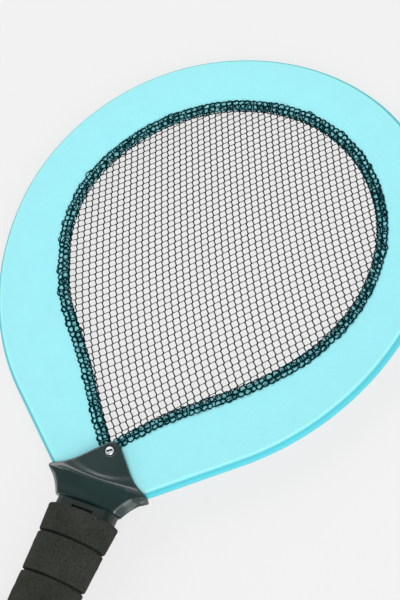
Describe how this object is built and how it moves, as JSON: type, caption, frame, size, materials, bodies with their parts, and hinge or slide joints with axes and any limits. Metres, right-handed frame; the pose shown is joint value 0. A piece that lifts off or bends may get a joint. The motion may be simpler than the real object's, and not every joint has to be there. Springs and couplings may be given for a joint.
{
  "type": "jumbo soft play racket",
  "caption": "Jumbo play racket: a fabric-covered teardrop hoop holds a taut hexagonal net, with a moulded throat yoke and a ribbed foam grip.",
  "frame": {"origin": "centre of the flat butt end of the grip", "axes": "+X along the grip towards the head's crown, +Y across the head, +Z out of the front face, where the nose screw's slot shows"},
  "size_m": [0.4207, 0.25, 0.0292],
  "materials": {
    "painted_tube": "satin",
    "turquoise_knit": "matte",
    "net_cord": "matte",
    "elastic": "matte",
    "moulded_shell": "semi_gloss",
    "moulded_core": "satin",
    "zinc_steel": "satin",
    "grip_foam": "matte",
    "cap_plastic": "matte"
  },
  "bodies": {
    "root": {"hoop_tube": "painted_tube", "cover_front_panel": "turquoise_knit", "cover_back_panel": "turquoise_knit", "cover_rim_band": "turquoise_knit", "net_mesh": "net_cord", "net_hem_front": "net_cord", "net_hem_back": "net_cord", "hem_elastic": "elastic", "yoke_front_shell": "moulded_shell", "yoke_back_shell": "moulded_shell", "yoke_tip_screw": "zinc_steel", "yoke_rear_screw": "zinc_steel", "handle_core_front": "moulded_core", "handle_core_back": "moulded_core", "handle_core_screws": "zinc_steel", "foam_grip_sleeve": "grip_foam", "butt_cap": "cap_plastic"}
  },
  "joints": []
}
